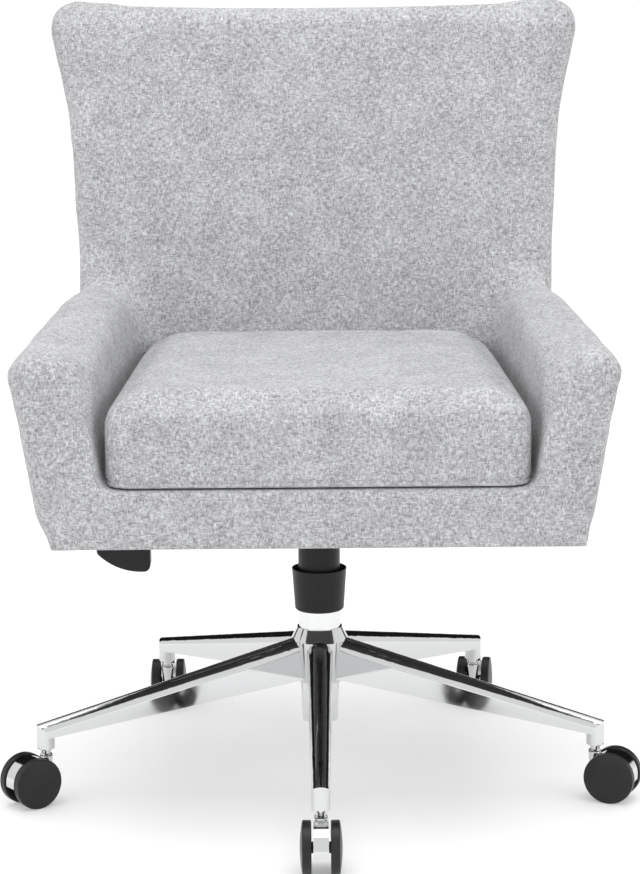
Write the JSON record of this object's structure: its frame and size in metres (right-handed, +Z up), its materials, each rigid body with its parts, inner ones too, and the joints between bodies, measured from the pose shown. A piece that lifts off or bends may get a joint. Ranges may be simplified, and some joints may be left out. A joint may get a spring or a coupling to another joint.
{
  "type": "swivel office chair",
  "caption": "Upholstered low-arm office chair on a chromed star base with hooded twin-wheel casters, gas lift, tilt mechanism and side lever.",
  "frame": {"origin": "on the floor, on the axis of the gas column", "axes": "+Z up, -Y towards the front of the seat, +X to the right as seen from the front"},
  "size_m": [0.7557, 0.7571, 0.9077],
  "materials": {
    "chrome": "polished chrome plate",
    "column_chrome": "polished chrome plate",
    "steel": "ground steel",
    "zinc": "bright zinc plate",
    "black_steel": "black powder coat",
    "black_plastic": "fine moulded satin",
    "caster_plastic": "satin nylon",
    "white_plastic": "moulded acetal",
    "rubber": "matt rubber",
    "plywood": "unfinished plywood",
    "foam": "grey melange weave over foam",
    "cushion_fabric": "grey melange weave over foam",
    "webbing": "elastic webbing",
    "dust_cover": "black non-woven"
  },
  "bodies": {
    "base": {"base_hub": "chrome", "base_legs": "chrome", "caster_stems": "chrome", "column_tube": "column_chrome", "column_guide_bush": "white_plastic", "thrust_bearing": "steel", "cover_cup": "black_plastic"},
    "piston": {"piston_rod": "steel", "rubber_buffer": "rubber", "retaining_clip": "steel"},
    "lift": {"gas_cylinder": "black_steel", "cylinder_socket": "black_steel", "cover_top_tube": "black_plastic", "mechanism_housing": "black_steel", "tilt_axle": "zinc", "tilt_axle_clips": "zinc", "tilt_springs": "steel"},
    "cover_sleeve": {"cover_middle_sleeve": "black_plastic"},
    "release_button": {"release_button": "steel"},
    "lever_rocker": {"lever_rocker": "white_plastic"},
    "lever": {"lever_rod": "zinc", "lever_handle": "black_plastic"},
    "seat": {"seat_plate": "black_steel", "tilt_bushes": "white_plastic", "stop_pad": "rubber", "seat_bolts": "zinc", "tee_nuts": "zinc", "seat_board": "plywood", "deck_pad": "foam", "dust_cover": "dust_cover", "arm_frame_left": "plywood", "arm_frame_right": "plywood", "arm_pad_left": "foam", "arm_pad_right": "foam", "seat_cushion": "cushion_fabric", "back_outer_panel": "plywood", "back_frame": "plywood", "back_webbing": "webbing", "back_pad": "foam"},
    "caster_front": {"caster_front_hood": "chrome", "caster_front_axle": "steel"},
    "caster_front_wheel_left": {"caster_front_wheel_left": "caster_plastic"},
    "caster_front_wheel_right": {"caster_front_wheel_right": "caster_plastic"},
    "caster_front_right": {"caster_front_right_hood": "chrome", "caster_front_right_axle": "steel"},
    "caster_front_right_wheel_left": {"caster_front_right_wheel_left": "caster_plastic"},
    "caster_front_right_wheel_right": {"caster_front_right_wheel_right": "caster_plastic"},
    "caster_rear_right": {"caster_rear_right_hood": "chrome", "caster_rear_right_axle": "steel"},
    "caster_rear_right_wheel_left": {"caster_rear_right_wheel_left": "caster_plastic"},
    "caster_rear_right_wheel_right": {"caster_rear_right_wheel_right": "caster_plastic"},
    "caster_rear_left": {"caster_rear_left_hood": "chrome", "caster_rear_left_axle": "steel"},
    "caster_rear_left_wheel_left": {"caster_rear_left_wheel_left": "caster_plastic"},
    "caster_rear_left_wheel_right": {"caster_rear_left_wheel_right": "caster_plastic"},
    "caster_front_left": {"caster_front_left_hood": "chrome", "caster_front_left_axle": "steel"},
    "caster_front_left_wheel_left": {"caster_front_left_wheel_left": "caster_plastic"},
    "caster_front_left_wheel_right": {"caster_front_left_wheel_right": "caster_plastic"}
  },
  "joints": [
    {"name": "seat_swivel", "type": "hinge", "parent": "base", "child": "piston", "pos_m": [0, 0, 0], "axis": [0, 0, 1], "continuous": true},
    {"name": "seat_height", "type": "slide", "parent": "piston", "child": "lift", "axis": [0, 0, 1], "range_m": [0, 0.07]},
    {"name": "cover_sleeve_rise", "type": "slide", "parent": "base", "child": "cover_sleeve", "axis": [0, 0, 1], "range_m": [0, 0.037]},
    {"name": "seat_tilt", "type": "hinge", "parent": "lift", "child": "seat", "pos_m": [0, -0.045, 0.325], "axis": [-1, 0, 0], "range_deg": [0, 12], "stiffness_Nm_per_rad": 200, "springref_deg": -14.32, "deforming": ["tilt_springs"]},
    {"name": "lever_lift", "type": "hinge", "parent": "lift", "child": "lever_rocker", "pos_m": [-0.05375, 0, 0.3163], "axis": [0, 1, 0], "range_deg": [0, 4], "stiffness_Nm_per_rad": 10, "springref_deg": -6.88},
    {"name": "lever_slide", "type": "slide", "parent": "lever_rocker", "child": "lever", "axis": [-1, 0, 0], "range_m": [0, 0.012]},
    {"name": "button_press", "type": "slide", "parent": "lift", "child": "release_button", "axis": [0, 0, -1], "range_m": [0, 0.004]},
    {"name": "caster_front_swivel", "type": "hinge", "parent": "base", "child": "caster_front", "pos_m": [0, -0.34, 0.05], "axis": [0, 0, 1], "continuous": true},
    {"name": "caster_front_wheel_left_roll", "type": "hinge", "parent": "caster_front", "child": "caster_front_wheel_left", "pos_m": [0, -0.362, 0.03], "axis": [-1, 0, 0], "continuous": true},
    {"name": "caster_front_wheel_right_roll", "type": "hinge", "parent": "caster_front", "child": "caster_front_wheel_right", "pos_m": [0, -0.362, 0.03], "axis": [-1, 0, 0], "continuous": true},
    {"name": "caster_front_right_swivel", "type": "hinge", "parent": "base", "child": "caster_front_right", "pos_m": [0.32336, -0.10507, 0.05], "axis": [0, 0, 1], "continuous": true},
    {"name": "caster_front_right_wheel_left_roll", "type": "hinge", "parent": "caster_front_right", "child": "caster_front_right_wheel_left", "pos_m": [0.34376, -0.11331, 0.03], "axis": [-0.3746, -0.9272, 0], "continuous": true},
    {"name": "caster_front_right_wheel_right_roll", "type": "hinge", "parent": "caster_front_right", "child": "caster_front_right_wheel_right", "pos_m": [0.34376, -0.11331, 0.03], "axis": [-0.3746, -0.9272, 0], "continuous": true},
    {"name": "caster_rear_right_swivel", "type": "hinge", "parent": "base", "child": "caster_rear_right", "pos_m": [0.19985, 0.27507, 0.05], "axis": [0, 0, 1], "continuous": true},
    {"name": "caster_rear_right_wheel_left_roll", "type": "hinge", "parent": "caster_rear_right", "child": "caster_rear_right_wheel_left", "pos_m": [0.20291, 0.29685, 0.03], "axis": [0.9903, -0.1392, 0], "continuous": true},
    {"name": "caster_rear_right_wheel_right_roll", "type": "hinge", "parent": "caster_rear_right", "child": "caster_rear_right_wheel_right", "pos_m": [0.20291, 0.29685, 0.03], "axis": [0.9903, -0.1392, 0], "continuous": true},
    {"name": "caster_rear_left_swivel", "type": "hinge", "parent": "base", "child": "caster_rear_left", "pos_m": [-0.19985, 0.27507, 0.05], "axis": [0, 0, 1], "continuous": true},
    {"name": "caster_rear_left_wheel_left_roll", "type": "hinge", "parent": "caster_rear_left", "child": "caster_rear_left_wheel_left", "pos_m": [-0.19985, 0.29707, 0.03], "axis": [1, 0, 0], "continuous": true},
    {"name": "caster_rear_left_wheel_right_roll", "type": "hinge", "parent": "caster_rear_left", "child": "caster_rear_left_wheel_right", "pos_m": [-0.19985, 0.29707, 0.03], "axis": [1, 0, 0], "continuous": true},
    {"name": "caster_front_left_swivel", "type": "hinge", "parent": "base", "child": "caster_front_left", "pos_m": [-0.32336, -0.10507, 0.05], "axis": [0, 0, 1], "continuous": true},
    {"name": "caster_front_left_wheel_left_roll", "type": "hinge", "parent": "caster_front_left", "child": "caster_front_left_wheel_left", "pos_m": [-0.34093, -0.11831, 0.03], "axis": [-0.6018, 0.7986, 0], "continuous": true},
    {"name": "caster_front_left_wheel_right_roll", "type": "hinge", "parent": "caster_front_left", "child": "caster_front_left_wheel_right", "pos_m": [-0.34093, -0.11831, 0.03], "axis": [-0.6018, 0.7986, 0], "continuous": true}
  ],
  "couplings": [
    {"joint": "cover_sleeve_rise", "follows": "seat_height", "ratio": 0.515},
    {"joint": "button_press", "follows": "lever_lift", "m_per_rad": 0.05375}
  ]
}
